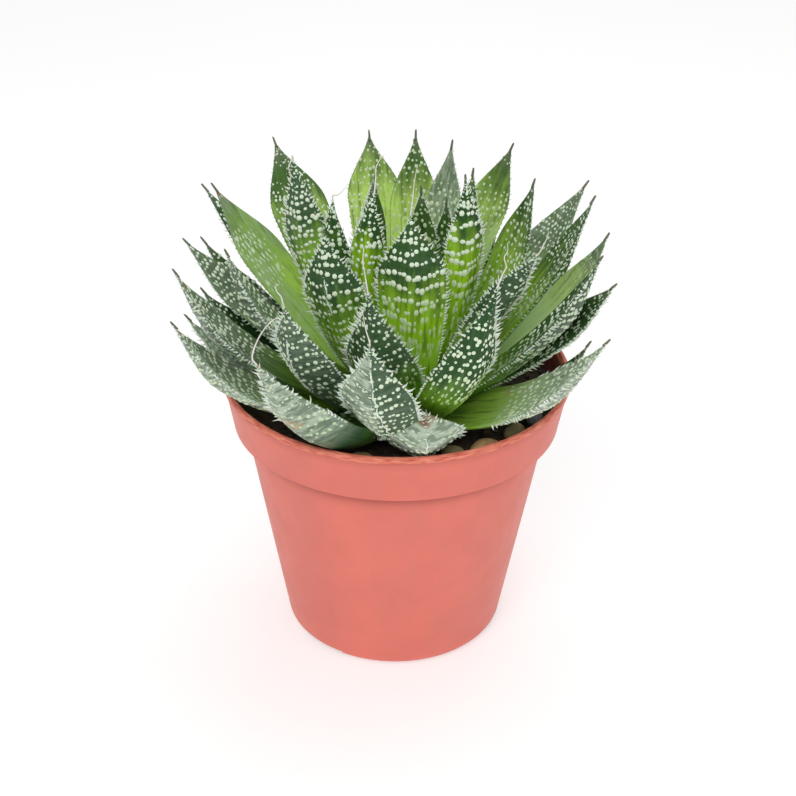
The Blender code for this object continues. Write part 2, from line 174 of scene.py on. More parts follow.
# Leaves whose inner face has dashes, fine dots or large dots
DASHED = ("left_2", "right_5")
FINE = ("back_1", "right_2", "right_3")
COARSE = (
    "left_1", "left_3", "left_4", "left_5", "left_6", "left_7", "left_8", "right_1", "right_4", "right_6",
    "right_7", "right_8", "right_9", "front_1",
)

# Dots by kind: the share where they start, the distances between rows and between dots and the radius
# in mm, how much longer than broad they are, and how much longer again at the root. The outer dots
# have their radius by group, in DOT_SIZES.
DOT_KINDS = {
    "plain": (0.44, 2.2, 1.95, 0.55, 0.15, 1.5),
    "dashed": (0.44, 2.2, 1.25, 0.286, 2.2, 1.5),
    "fine": (0.28, 1.9, 1.5, 0.50, 0.15, 1.5),
    "coarse": (0.28, 2.3, 2.0, 0.82, -0.1, 0.6),
    "outer": (0.28, 1.85, 1.75, None, 0.0, 1.5),
}
DOT_SIZES = {"back": 0.60, "right": 0.60, "left": 0.62, "front": 0.58, "inner": 0.66, "low": 0.60}
DOTS_END = 0.965
DOTS_EDGE = 0.93
DOME_SIDES = 6

# How green the outer dots of a group are
DOT_FADES = {"back": 0.3, "right": 0.25, "left": 0.25, "front": 0.14, "inner": 0.0, "low": 0.3}

# Leaves whose outer face is frosted on its left half only, and leaves frosted on both faces
HALF_FROSTED = ("front_4",)
ALL_FROSTED = (
    "right_2", "right_5", "right_9", "left_2", "left_4", "left_5", "left_6", "left_7", "left_8", "back_4",
)

# The share below which some leaves are bare of dots and frost
BARE_ROOTS = {
    "front_1": 0.60, "front_2": 0.36, "front_3": 0.36, "front_6": 0.42, "right_1": 0.42, "right_5": 0.62,
    "right_9": 0.40, "left_4": 0.40, "left_6": 0.45, "left_8": 0.42,
}
USUAL_BARE_ROOT = 0.27

# Leaves with a pale smooth root
PALE_ROOTS = ("right_5", "back_5")

# Leaves whose inner face is brighter on its right half, low down
BRIGHT_SIDED = ("left_2",)
BRIGHT_SIDE_GLOW = 0.74

# Tan and brown marks: leaf, share, side, inner face or not, half-length and half-width in mm, colour
# from 0 (tan) to 1 (brown)
SCARS = (
    ("front_1", 0.71, -0.15, 0, 1.4, 5.0, 0.0),
    ("left_6", 0.92, 0.0, 1, 1.6, 1.4, 0.6),
    ("right_9", 0.37, 0.75, 1, 1.0, 1.8, 0.2),
    ("front_5", 0.94, 0.1, 0, 1.0, 2.4, 1.0),
)

# How large the teeth of a leaf or group are
TOOTH_GRADES = {
    "back": 0.45, "right": 0.45, "left": 0.60, "front": 1.15, "inner": 0.85, "low": 0.50, "left_2": 0.30,
    "left_5": 1.0, "left_6": 1.15, "left_7": 1.0, "left_8": 1.0, "right_6": 0.95, "right_7": 1.05,
    "right_9": 1.2,
}

# Teeth on the margins: from and to which share, and how far out across the leaf
TEETH_START = 0.22
TEETH_END = 0.985
MARGIN_SIDE = 0.985

# Fine teeth beside the margins and on the keel: from and to which share, and the limits of their
# sideways, forward and upward heading, their side, and their length and distance in mm
FINE_TOOTH_WIDTH = 0.24 * MM
BESIDE_MARGIN = (0.62, 0.97)
BESIDE_MARGIN_LIMITS = ((0.2, 0.7), (0.4, 0.9), (-1.0, -0.6), (0.74, 0.92), (0.5, 1.05), (1.6, 3.4))
KEEL_TEETH_START = 0.84
KEEL_LIMITS = ((-0.5, 0.5), (0.3, 0.8), (-1.0, -0.8), (-0.10, 0.10), (0.5, 1.0), (0.9, 1.6))

# Dry threads that stand on from leaf tips: points in mm from the tip, to the right, back and up
THREADS = {
    "front_1": ((1, 0, 4), (3, 0, 8), (5.5, 0, 11), (7.3, 0, 11.6), (8, 0, 11)),
    "front_2": ((-0.5, 0, 2), (-1.6, 0, 3.6), (-1.8, 0, 5), (-0.8, 0, 5.6)),
    "front_3": ((-0.6, 0, 4), (-1.2, 0, 8), (-1.0, 0, 11.5), (-1.4, 0, 13)),
    "front_4": ((-0.8, 0, 3), (-1.4, 0, 6), (-1.8, 0, 9)),
    "front_6": ((0.8, 0, 2.5), (1.6, 0, 4.5), (1.0, 0, 7), (1.8, 0, 9), (1.6, 0, 11)),
    "front_7": ((0.8, 0, 2), (1.6, 0, 4), (2.0, 0, 6)),
    "inner_1": ((-0.3, -1.0, -0.9), (-1.0, -1.5, -2.6), (-0.5, -1.8, -4.6), (-0.5, -1.9, -6.8)),
    "inner_2": ((1.2, 0, 0.2), (2.6, 0, 1.4), (4.0, 0, 3.4)),
    "inner_4": ((0.2, 0.5, 3), (0.3, 1.5, 5.5), (1.4, 3, 7.4), (2.3, 4, 8.2)),
    "inner_5": ((0.4, 0, 4), (0.8, 1, 8.5), (1.6, 3, 12.5)),
}

# How far down the dry tip of a leaf reaches, as a share
DRY_TIPS = {
    "front_1": 0.05, "front_3": 0.03, "front_5": 0.06, "left_2": 0.05, "left_8": 0.05, "right_9": 0.04,
}
USUAL_DRY_TIP = 0.012

# Colours of the pot
CLAY = (0.80, 0.200, 0.150)
CLAY_DEEP = (0.73, 0.18, 0.14)
CLAY_STREAK = (0.66, 0.20, 0.165)
# Painted shade on the pot's inner wall, which lies in shadow
CLAY_INSIDE_SHADE = (0.22, 0.055, 0.050)
# The lip's own deeper orange-red, and a lighter tone for its thin lines of painted highlight
LIP_TONE_AND_HIGHLIGHT = ((0.58, 0.105, 0.070), (0.88, 0.300, 0.200))
# Painted shadow in a thin band below the lip
LIP_SHADE = (0.46, 0.105, 0.080)
# Painted shadow on the body just under the collar
COLLAR_SHADE = (0.34, 0.070, 0.055)

# Colours of the leaves: dull, fresh and vivid flesh, dark flesh in dull and vivid leaves, the root in
# both, and what lies over them
OUTER_GREENS = ((0.055, 0.140, 0.016), (0.160, 0.360, 0.010), (0.400, 0.740, 0.012))
INNER_GREENS = ((0.070, 0.170, 0.018), (0.240, 0.460, 0.016), (0.600, 0.860, 0.190))
OUTER_DARKS = ((0.026, 0.070, 0.036), (0.018, 0.078, 0.008))
INNER_DARKS = ((0.030, 0.078, 0.024), (0.080, 0.170, 0.036))
ROOT_GREENS = ((0.070, 0.170, 0.012), (0.520, 0.760, 0.130))
LIGHT_FIBRE = (0.30, 0.46, 0.16)
DARK_FIBRE = (0.020, 0.060, 0.010)
FROST = (0.48, 0.57, 0.45)
PALE_FLESH = (0.60, 0.82, 0.38)
GREY_TIP = (0.24, 0.26, 0.20)
DRY_BROWN = (0.34, 0.17, 0.10)
SCAR_TAN = (0.56, 0.40, 0.24)
SCAR_BROWN = (0.20, 0.085, 0.045)

# How far apart the noise of neighbouring leaves is drawn
LEAF_TO_LEAF = 7.3

# Camera, in metres and degrees, and the spot that the lights face
CAMERA_TARGET = Vector((0.5 * MM, 0, 74 * MM))
CAMERA_DISTANCE = 0.5
CAMERA_ELEVATION = 30
CAMERA_ROLL = 0.7
SENSOR_WIDTH = 36
FOCAL_LENGTH_PIXELS = 1696
PHOTO_WIDTH_PIXELS = 796
LIT_SPOT = (0, 0, 0.08)


def smooth_step(value, low, high):
    """0 below low, 1 above high, smooth between."""
    share = np.clip((value - low) / (high - low), 0.0, 1.0)
    return share * share * (3 - 2 * share)


def unit(vectors):
    """Rows scaled to length 1."""
    return vectors / np.maximum(np.linalg.norm(vectors, axis=-1, keepdims=True), 1e-12)


def spun(points, angle):
    """Points turned about Z."""
    cosine = math.cos(angle)
    sine = math.sin(angle)
    return points @ np.array([[cosine, sine, 0], [-sine, cosine, 0], [0, 0, 1]])


def ring_faces(rings, sides, first=0):
    """Faces between rings of points that follow one another."""
    faces = []
    for low in range(first, first + (rings - 1) * sides, sides):
        for side in range(sides):
            after = (side + 1) % sides
            faces.append((low + side, low + after, low + sides + after, low + sides + side))
    return faces


def joined(forms):
    """Many forms as one, each a pair of points and faces."""
    all_points = []
    all_faces = []
    count = 0
    for points, faces in forms:
        all_faces += [[int(index) + count for index in face] for face in faces]
        all_points.append(points)
        count += len(points)
    return np.concatenate(all_points), all_faces


def new_object(name, points, faces, finish, smooth=True):
    mesh = bpy.data.meshes.new(name)
    mesh.from_pydata(np.asarray(points).tolist(), [], faces)
    mesh.materials.append(finish)
    mesh.update()
    if smooth:
        mesh.shade_smooth()
    made = bpy.data.objects.new(name, mesh)
    bpy.context.scene.collection.objects.link(made)
    return made


def points_of(mesh):
    return np.array([vertex.co[:] for vertex in mesh.vertices])


def add_values(piece, name, values):
    """Stores one number for each point of the mesh, for its material."""
    layer = piece.data.attributes.new(name, "FLOAT", "POINT")
    layer.data.foreach_set("value", np.asarray(values, dtype=np.float32))


def place(piece, slot, *nodes):
    """Fixes a piece to the part's body, in the place of the nodes that it stands for."""
    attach(piece, BODY)
    if nodes:
        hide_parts(*nodes)


def rosette_piece(name, forms, finish, **values):
    """A piece of the plant out of many forms, with the values that its material needs."""
    piece = new_object(name, *joined(forms), finish)
    for value_name, numbers in values.items():
        add_values(piece, value_name, numbers)
    place(piece, "leaf_flesh", "rosette")


# Materials

class Finish:
    """A material and short ways to add and join its nodes."""

    def __init__(self, name, **constants):
        self.material = bpy.data.materials.new(name)
        self.material.use_nodes = True
        self.tree = self.material.node_tree
        self.shader = self.tree.nodes["Principled BSDF"]
        for socket, value in constants.items():
            self.shader.inputs[socket.replace("_", " ")].default_value = value

    def node(self, kind, **inputs):
        made = self.tree.nodes.new("ShaderNode" + kind)
        for name, value in inputs.items():
            made.inputs[name.replace("_", " ")].default_value = value
        return made

    def join(self, source, target):
        self.tree.links.new(source, target)

    def feed(self, value, target):
        """A socket is joined, and a number is set."""
        if isinstance(value, (int, float)):
            target.default_value = value
        else:
            self.join(value, target)

    def attribute(self, name):
        made = self.node("Attribute")
        made.attribute_name = name
        return made.outputs["Fac"]

    def coordinates(self, stretch=(1, 1, 1)):
        mapping = self.node("Mapping", Scale=stretch)
        self.join(self.node("TexCoord").outputs["Object"], mapping.inputs["Vector"])
        return mapping.outputs["Vector"]

    def noise(self, scale, detail, roughness, stretch=(1, 1, 1)):
        made = self.node("TexNoise", Scale=scale, Detail=detail, Roughness=roughness)
        self.join(self.coordinates(stretch), made.inputs["Vector"])
        return made.outputs["Fac"]

    def value_noise(self, detail, **scales):
        """Noise over up to three stored values instead of over space, each with its scale."""
        made = self.node("TexNoise", Scale=1.0, Detail=detail, Roughness=0.6)
        vector = self.node("CombineXYZ")
        for socket, (name, scale) in zip(vector.inputs, scales.items()):
            self.join(self.times(self.attribute(name), scale), socket)
        self.join(vector.outputs["Vector"], made.inputs["Vector"])
        return made.outputs["Fac"]

    def leaf_noise(self, across, down, detail):
        """Noise drawn along the leaves, different on each."""
        return self.value_noise(detail, across=across, down=down, number=LEAF_TO_LEAF)

    def remap(self, value, low, high, new_low=0.0, new_high=1.0):
        made = self.node("MapRange", From_Min=low, From_Max=high, To_Min=new_low, To_Max=new_high)
        self.join(value, made.inputs["Value"])
        return made.outputs["Result"]

    def maths(self, operation, first, second):
        made = self.node("Math")
        made.operation = operation
        self.feed(first, made.inputs[0])
        self.feed(second, made.inputs[1])
        return made.outputs["Value"]

    def times(self, first, second):
        return self.maths("MULTIPLY", first, second)

    def one_less(self, value):
        return self.maths("SUBTRACT", 1.0, value)

    def mix(self, factor, first, second):
        """Mixes two colours, each a tuple or a socket."""
        made = self.node("Mix")
        made.data_type = "RGBA"
        self.feed(factor, made.inputs[0])
        for value, socket in ((first, made.inputs[6]), (second, made.inputs[7])):
            if isinstance(value, tuple):
                socket.default_value = (*value, 1.0)
            else:
                self.join(value, socket)
        return made.outputs[2]

    def layer(self, tone, colour, strength, low, high, *grain):
        """Lays a colour over a tone where the noise is high."""
        return self.mix(self.remap(self.noise(*grain), low, high, 0.0, strength), tone, colour)

    def colour(self, source):
        self.join(source, self.shader.inputs["Base Color"])

    def roughness(self, source):
        self.join(source, self.shader.inputs["Roughness"])

    def bump(self, height, strength, distance):
        made = self.node("Bump", Strength=strength, Distance=distance)
        self.join(height, made.inputs["Height"])
        self.join(made.outputs["Normal"], self.shader.inputs["Normal"])


def pot_finish():
    """Moulded plastic: faint mottling; painted light: lighter lines of painted highlight on the lip,
    painted shade on the inner wall, painted shadow under the lip and the collar.
    """
    finish = Finish(
        "pot_plastic", Subsurface_Weight=0.08, Subsurface_Scale=0.004, Subsurface_Radius=(1.0, 0.35, 0.2),
        Specular_IOR_Level=0.25,
    )
    axes = finish.node("SeparateXYZ")
    finish.join(finish.coordinates(), axes.inputs[0])
    height = axes.outputs["Z"]
    inside = finish.attribute("inside")
    tone = finish.layer(CLAY, CLAY_DEEP, 1.0, 0.35, 0.65, 55, 5, 0.6)
    tone = finish.layer(tone, CLAY_STREAK, 0.30, 0.35, 0.7, 90, 3, 0.6, (1, 1, 0.12))
    # Painted shade: the inner wall is darkened for the shadow inside the pot
    tone = finish.mix(inside, tone, CLAY_INSIDE_SHADE)
    # Thin lines of painted highlight along the lip, over its deeper orange-red
    lip_highlight_lines = finish.remap(finish.value_noise(3, ring=1.6, around=1.1), 0.36, 0.64)
    lip = finish.remap(height, POT_HEIGHT - 1.15 * LIP_HEIGHT, POT_HEIGHT - 0.9 * LIP_HEIGHT)
    tone = finish.mix(lip, tone, finish.mix(lip_highlight_lines, *LIP_TONE_AND_HIGHLIGHT))
    # Painted shadow under the collar's overhang, fading downwards, on the outside only
    collar_shadow = finish.remap(height, SHOULDER - 7.0 * MM, SHOULDER - 2.2 * MM)
    collar_shadow = finish.times(finish.maths("POWER", collar_shadow, 2.2), 0.62)
    collar_shadow = finish.times(collar_shadow, finish.maths("LESS_THAN", height, SHOULDER))
    tone = finish.mix(finish.times(collar_shadow, finish.one_less(inside)), tone, COLLAR_SHADE)
    # Painted shadow: a thin darker band just below the lip
    lip_shadow = finish.remap(
        height, POT_HEIGHT - 2.6 * LIP_HEIGHT, POT_HEIGHT - 1.2 * LIP_HEIGHT, 0.0, 0.35,
    )
    finish.colour(finish.mix(finish.times(lip_shadow, finish.one_less(lip)), tone, LIP_SHADE))
    finish.roughness(finish.remap(finish.noise(140, 4, 0.6), 0.3, 0.7, 0.40, 0.52))
    finish.bump(finish.noise(420, 4, 0.6, (1, 1, 0.5)), 0.12, 0.0003)
    return finish.material


def soil_finish():
    finish = Finish("potting_soil", Roughness=0.92, Specular_IOR_Level=0.3)
    tone = finish.layer((0.016, 0.011, 0.008), (0.080, 0.056, 0.036), 1.0, 0.35, 0.7, 900, 6, 0.7)
    finish.colour(finish.layer(tone, (0.100, 0.080, 0.050), 0.5, 0.4, 0.65, 160, 4, 0.6))
    finish.bump(finish.noise(1400, 6, 0.7), 0.6, 0.0006)
    return finish.material


def crumb_finish():
    """Crumbs of soil and bark, a few of them pale."""
    finish = Finish("soil_crumbs", Roughness=0.9, Specular_IOR_Level=0.3)
    kind = finish.attribute("kind")
    tone = finish.mix(finish.remap(kind, 0.0, 0.6), (0.018, 0.012, 0.009), (0.110, 0.076, 0.048))
    tone = finish.mix(finish.remap(kind, 0.86, 0.88), tone, (0.22, 0.18, 0.14))
    finish.colour(finish.layer(tone, (0.03, 0.02, 0.015), 0.6, 0.4, 0.6, 1600, 4, 0.6))
    finish.bump(finish.noise(2200, 5, 0.7), 0.5, 0.0004)
    return finish.material


def pebble_finish(name, light, dark):
    finish = Finish(name, Roughness=0.62)
    speck = tuple(0.4 * part for part in dark)
    tone = finish.layer(light, dark, 1.0, 0.38, 0.66, 260, 6, 0.65)
    finish.colour(finish.layer(tone, speck, 0.6, 0.60, 0.68, 1800, 3, 0.6))
    finish.bump(finish.noise(900, 6, 0.65), 0.35, 0.0004)
    return finish.material


def leaf_finish():
    """Green flesh: bright at the foot, dark bluish green towards the tip, with fine fibres."""
    finish = Finish(
        "leaf_flesh", Subsurface_Weight=0.12, Subsurface_Scale=0.002, Subsurface_Radius=(0.5, 1.0, 0.15),
        Specular_IOR_Level=0.22,
    )
    share = finish.attribute("share")
    glow = finish.attribute("glow")
    inner = finish.attribute("inner")
    fibres = finish.leaf_noise(0.75, 0.07, 4)
    wander = finish.remap(finish.leaf_noise(0.30, 0.035, 3), 0.3, 0.7, -0.09, 0.09)
    cloud = finish.remap(finish.noise(110, 4, 0.6), 0.3, 0.7, -0.07, 0.07)
    depth = finish.maths("SUBTRACT", share, finish.attribute("dark_from"))
    depth = finish.maths("ADD", finish.maths("ADD", depth, cloud), wander)
    darkness = finish.remap(depth, -0.12, 0.12)
    half_glow = finish.remap(glow, 0.0, 0.6)
    full_glow = finish.remap(glow, 0.6, 1.0)
    bright = [
        finish.mix(full_glow, finish.mix(half_glow, dull, fresh), vivid)
        for dull, fresh, vivid in (OUTER_GREENS, INNER_GREENS)
    ]
    dark = [finish.mix(glow, *tones) for tones in (OUTER_DARKS, INNER_DARKS)]
    tone = finish.mix(darkness, finish.mix(inner, *bright), finish.mix(inner, *dark))
    tone = finish.mix(finish.remap(share, 0.10, 0.42, 0.6, 0.0), tone, finish.mix(glow, *ROOT_GREENS))
    light_fibre = finish.times(
        finish.remap(fibres, 0.52, 0.72, 0.0, 0.30), finish.remap(darkness, 0.0, 1.0, 1.0, 0.3),
    )
    tone = finish.mix(light_fibre, tone, LIGHT_FIBRE)
    tone = finish.mix(finish.remap(fibres, 0.34, 0.50, 0.60, 0.0), tone, DARK_FIBRE)
    streaky = finish.times(finish.leaf_noise(1.3, 0.22, 4), inner)
    wavy = finish.times(finish.leaf_noise(0.30, 1.10, 4), finish.one_less(inner))
    film = finish.remap(finish.maths("ADD", streaky, wavy), 0.42, 0.58, 0.36, 1.0)
    tone = finish.mix(finish.times(finish.attribute("frost"), film), tone, FROST)
    tone = finish.mix(finish.times(finish.attribute("pale"), 0.9), tone, PALE_FLESH)
    tone = finish.mix(finish.times(finish.remap(share, 0.88, 1.0, 0.0, 0.75), inner), tone, GREY_TIP)
    blotch = finish.remap(finish.noise(420, 4, 0.6), 0.40, 0.60, 0.4, 1.0)
    tone = finish.mix(finish.times(finish.attribute("dry"), blotch), tone, DRY_BROWN)
    scar_tone = finish.mix(finish.attribute("scar_tone"), SCAR_TAN, SCAR_BROWN)
    finish.colour(finish.mix(finish.times(finish.attribute("scar"), blotch), tone, scar_tone))
    finish.roughness(finish.remap(finish.noise(500, 4, 0.6), 0.3, 0.7, 0.38, 0.54))
    finish.bump(fibres, 0.30, 0.0003)
    return finish.material


def dot_finish():
    """White warts, greener and softer low on the leaf."""
    finish = Finish("leaf_dots", Roughness=0.55, Subsurface_Weight=0.15, Subsurface_Scale=0.001)
    faded = finish.mix(finish.attribute("glow"), (0.16, 0.30, 0.09), (0.58, 0.78, 0.26))
    tone = finish.mix(finish.attribute("fade"), (0.78, 0.88, 0.70), faded)
    finish.colour(finish.layer(tone, (0.62, 0.76, 0.50), 0.35, 0.35, 0.65, 2500, 2, 0.5))
    finish.bump(finish.noise(3000, 2, 0.5), 0.2, 0.0001)
    return finish.material


def tooth_finish():
    finish = Finish("leaf_teeth", Roughness=0.45, Subsurface_Weight=0.2, Subsurface_Scale=0.001)
    finish.colour(finish.layer((0.82, 0.88, 0.80), (0.62, 0.74, 0.60), 1.0, 0.35, 0.65, 400, 2, 0.5))
    finish.bump(finish.noise(2500, 2, 0.5), 0.15, 0.0001)
    return finish.material


def thread_finish():
    """Dry tips: cream on the long threads, grey-brown on the short points."""
    finish = Finish("dry_threads", Roughness=0.6, Subsurface_Weight=0.1, Subsurface_Scale=0.001)
    cream = finish.layer((0.82, 0.81, 0.76), (0.68, 0.58, 0.46), 1.0, 0.45, 0.70, 300, 3, 0.6)
    point = finish.layer((0.11, 0.15, 0.08), (0.20, 0.18, 0.12), 1.0, 0.45, 0.70, 300, 3, 0.6)
    finish.colour(finish.mix(finish.attribute("cream"), point, cream))
    finish.bump(finish.noise(2500, 2, 0.5), 0.2, 0.0001)
    return finish.material


# Pot

def body_radius(height):
    return BASE_RADIUS + (BODY_TOP_RADIUS - BASE_RADIUS) * height / SHOULDER


def arc(centre, radius, start, end, steps):
    """Points of an arc as (radius, height) pairs, angles in degrees."""
    angles = np.radians(np.linspace(start, end, steps + 1))
    circle = radius * np.column_stack([np.cos(angles), np.sin(angles)])
    return [tuple(point) for point in circle + centre]


def between(start, end, steps):
    """Even points from start up to end, without start."""
    return [tuple(point) for point in np.linspace(start, end, steps + 1)[1:]]


def pot_profile():
    """Outer side up, over the rolled lip and down the inside, from the axis to the axis."""
    corner = (body_radius(BASE_CORNER) - BASE_CORNER, BASE_CORNER)
    points = [(0.0, 0.0)]
    points += between((0.0, 0.0), (corner[0], 0.0), 3)[:-1]
    points += arc(corner, BASE_CORNER, -90, -4, 8)
    points += between(points[-1], (BODY_TOP_RADIUS, SHOULDER - 0.8 * MM), 24)
    step_out = COLLAR_BOTTOM_RADIUS - BODY_TOP_RADIUS
    points.append((BODY_TOP_RADIUS + 0.15 * step_out, SHOULDER - 0.35 * MM))
    points.append((COLLAR_BOTTOM_RADIUS - 0.7 * MM, SHOULDER - 0.15 * MM))
    points += arc((COLLAR_BOTTOM_RADIUS - 0.5 * MM, SHOULDER + 0.35 * MM), 0.5 * MM, -90, 12, 5)
    lip_foot = POT_HEIGHT - LIP_HEIGHT
    points += between(points[-1], (RIM_RADIUS - 0.55 * MM, lip_foot), 10)
    points.append((RIM_RADIUS - 0.22 * MM, lip_foot + 0.06 * MM))
    points += arc((RIM_RADIUS - 0.28 * MM, lip_foot + 0.34 * MM), 0.28 * MM, -70, 10, 4)
    points += arc((RIM_RADIUS - 0.95 * MM, POT_HEIGHT - 0.85 * MM), 0.85 * MM, 12, 120, 9)
    for steps, *stop in (
        (3, RIM_RADIUS - LIP_WIDTH, lip_foot),
        (4, COLLAR_BOTTOM_RADIUS - WALL, SHOULDER + WALL),
        (2, BODY_TOP_RADIUS - WALL, SHOULDER),
        (6, body_radius(2 * BASE_CORNER) - WALL, 2 * BASE_CORNER),
    ):
        points += between(points[-1], stop, steps)
    points.append((body_radius(WALL) - 0.9 * BASE_CORNER, WALL))
    points.append((0.0, WALL))
    return points


def turned(name, profile, sides, finish):
    """A closed solid turned about Z. The profile starts and ends on the axis."""
    angles = 2 * np.pi * np.arange(sides) / sides
    circle = np.column_stack([np.cos(angles), np.sin(angles)])
    points = [np.array([[0, 0, profile[0][1]]])]
    for radius, height in profile[1:-1]:
        points.append(np.column_stack([radius * circle, np.full(sides, height)]))
    points.append(np.array([[0, 0, profile[-1][1]]]))
    rings = len(profile) - 2
    top = 1 + (rings - 1) * sides
    faces = ring_faces(rings, sides, 1)
    for side in range(sides):
        after = (side + 1) % sides
        faces.append((0, 1 + after, 1 + side))
        faces.append((top + sides, top + side, top + after))
    return new_object(name, np.concatenate(points), faces, finish)


def cut_notch(pot, azimuth):
    """Takes a drainage notch out of the foot's edge."""
    angle = math.radians(azimuth)
    reach = BASE_RADIUS - 0.5 * NOTCH_DEPTH + 2 * MM
    bpy.ops.mesh.primitive_cube_add(size=1)
    cutter = bpy.context.object
    cutter.scale = (NOTCH_DEPTH + 4 * MM, NOTCH_WIDTH, 2 * NOTCH_HEIGHT)
    cutter.rotation_euler = (0, 0, angle)
    cutter.location = (reach * math.cos(angle), reach * math.sin(angle), 0)
    bpy.context.view_layer.update()
    step = pot.modifiers.new("notch", "BOOLEAN")
    step.operation = "DIFFERENCE"
    step.solver = "EXACT"
    step.object = cutter
    bpy.context.view_layer.objects.active = pot
    bpy.ops.object.modifier_apply(modifier=step.name)
    bpy.data.objects.remove(cutter)


def make_pot():
    pot = turned("pot_shell", pot_profile(), 192, pot_finish())
    for azimuth in NOTCH_AZIMUTHS:
        cut_notch(pot, azimuth)
    pot.data.shade_smooth()
    pot.data.set_sharp_from_angle(angle=math.radians(38))
    x, y, height = points_of(pot.data).T
    reach = np.hypot(x, y)
    heights = (0, SHOULDER, SHOULDER + WALL, POT_HEIGHT)
    wall = np.interp(height, heights, (BASE_RADIUS, BODY_TOP_RADIUS, COLLAR_BOTTOM_RADIUS, RIM_RADIUS))
    inside = (reach < wall - 0.5 * LIP_WIDTH) & (height < POT_HEIGHT - 0.6 * LIP_HEIGHT)
    add_values(pot, "inside", inside & (height > 0.5 * WALL))
    add_values(pot, "ring", (reach - height) / MM)
    add_values(pot, "around", 10 * np.arctan2(y, x))
    place(pot, "pot_plastic", "pot")


# Soil and pebbles

def soil_height(x, y):
    """The part's lumpy soil surface."""
    lump = math.sin(x / (3.1 * MM)) * math.cos(y / (3.7 * MM)) + 0.6 * math.sin((x + 2 * y) / (5.3 * MM))
    return SOIL_LEVEL + 0.5 * SOIL_LUMP * lump


def soil_radius():
    """Radius of the soil's top beside the pot's wall."""
    share = (SOIL_LEVEL - SHOULDER) / (COLLAR_DEPTH - LIP_HEIGHT)
    low = COLLAR_BOTTOM_RADIUS - WALL
    return low + (RIM_RADIUS - LIP_WIDTH - low) * share - 2 * GAP


def make_soil():
    """A body that fills the pot, with a lumpy and grainy top."""
    rim = soil_radius()
    profile = [
        (0.0, WALL + GAP),
        (body_radius(WALL) - 1.3 * BASE_CORNER, WALL + GAP),
        (body_radius(3 * BASE_CORNER) - WALL - 2 * GAP, 3 * BASE_CORNER),
        (BODY_TOP_RADIUS - WALL - 2 * GAP, SHOULDER + GAP),
    ]
    profile += [(rim * (1 - ring / SOIL_RINGS), SOIL_LEVEL) for ring in range(SOIL_RINGS + 1)]
    soil = turned("soil_surface", profile, SOIL_SIDES, soil_finish())
    for vertex in soil.data.vertices:
        x, y, height = vertex.co
        if height < SHOULDER + 2 * GAP:
            continue
        coarse = noise.fractal(Vector((x, y, 0)) * 260, 0.9, 2.1, 5)
        fine = noise.fractal(Vector((x, y, 1)) * 900, 0.8, 2.0, 3)
        grain = 0.35 * MM * coarse + 0.12 * MM * fine if x or y else 0.0
        vertex.co.z = soil_height(x, y) + grain
    place(soil, "potting_soil", "soil")


def ball(level):
    """Points and faces of a round ball of triangles."""
    mesh = bpy.data.meshes.new("ball")
    form = bmesh.new()
    bmesh.ops.create_icosphere(form, subdivisions=level, radius=1.0)
    form.to_mesh(mesh)
    form.free()
    points = points_of(mesh)
    faces = [face.vertices[:] for face in mesh.polygons]
    bpy.data.meshes.remove(mesh)
    return points, faces


def make_crumbs():
    """Loose crumbs of soil and bark on the surface."""
    draw = random.Random(SEED)
    form, form_faces = ball(2)
    crumbs = []
    kinds = []
    rim = soil_radius()
    for _ in range(CRUMBS):
        radius = (rim - 1.2 * MM) * math.sqrt(draw.random())
        angle = 2 * math.pi * draw.random()
        x = radius * math.cos(angle)
        y = radius * math.sin(angle)
        if math.hypot(x - AXIS_X, y - AXIS_Y) < STEM_RADIUS + 2 * MM:
            continue
        size = MM * (0.35 + 0.9 * draw.random() ** 2.5)
        stretch = np.array([draw.uniform(0.7, 1.5), draw.uniform(0.6, 1.1), draw.uniform(0.45, 0.8)])
        turn = draw.uniform(0, 2 * math.pi)
        shift = Vector((draw.uniform(0, 50), draw.uniform(0, 50), 0))
        swell = np.array([1 + 0.45 * noise.noise(Vector(point) * 1.7 + shift) for point in form])
        points = spun(form * swell[:, None] * stretch * size, turn)
        crumbs.append((points + (x, y, soil_height(x, y) + 0.25 * size), form_faces))
        kinds += [draw.random()] * len(form)
    piece = new_object("soil_crumbs", *joined(crumbs), crumb_finish())
    add_values(piece, "kind", kinds)
    place(piece, "potting_soil")


def make_pebbles():
    tan = pebble_finish("pebble_tan", (0.66, 0.42, 0.20), (0.46, 0.27, 0.13))
    olive = pebble_finish("pebble_olive", (0.36, 0.30, 0.15), (0.24, 0.20, 0.10))
    grey = pebble_finish("pebble_grey", (0.40, 0.37, 0.42), (0.24, 0.22, 0.27))
    slots = ["pebble_tan"] * 4 + ["pebble_grey"]
    form, form_faces = ball(4)
    flat_foot = np.maximum(form, (-1, -1, -0.8))
    rows = zip(PEBBLES, (tan, olive, olive, olive, grey), slots)
    for number, ((x, y, length, width, height, turn), finish, slot) in enumerate(rows, 1):
        x *= MM
        y *= MM
        swell = np.array([
            1 + 0.10 * math.sin(2.3 * a + number) * math.cos(1.9 * b - 2 * number)
            + 0.025 * noise.fractal(Vector((a, b, c)) * 2.2 + Vector((number, 0, 0)), 0.9, 2.0, 4)
            for a, b, c in form
        ])
        size = 0.5 * MM * np.array([length, width, height])
        points = spun(flat_foot * size * swell[:, None], math.radians(turn))
        ground = max(soil_height(x + point[0], y + point[1]) - point[2] for point in points)
        pebble = new_object(f"stone_{number}", points + (x, y, ground + 0.5 * GAP), form_faces, finish)
        place(pebble, slot, f"pebble_{number}")


# Leaves

def leaf_width(share, peak, root):
    """Half-breadth of a leaf along its line, as a share of its widest."""
    lower = 1 - (1 - root) * (np.maximum(peak - share, 0) / peak) ** ROOT_CURVE
    from_tip = np.clip((1 - share) / (1 - peak), 0, 1)
    upper = 1 - (1 - from_tip ** TIP_CURVE) ** 2
    return np.where(share < peak, lower, upper)


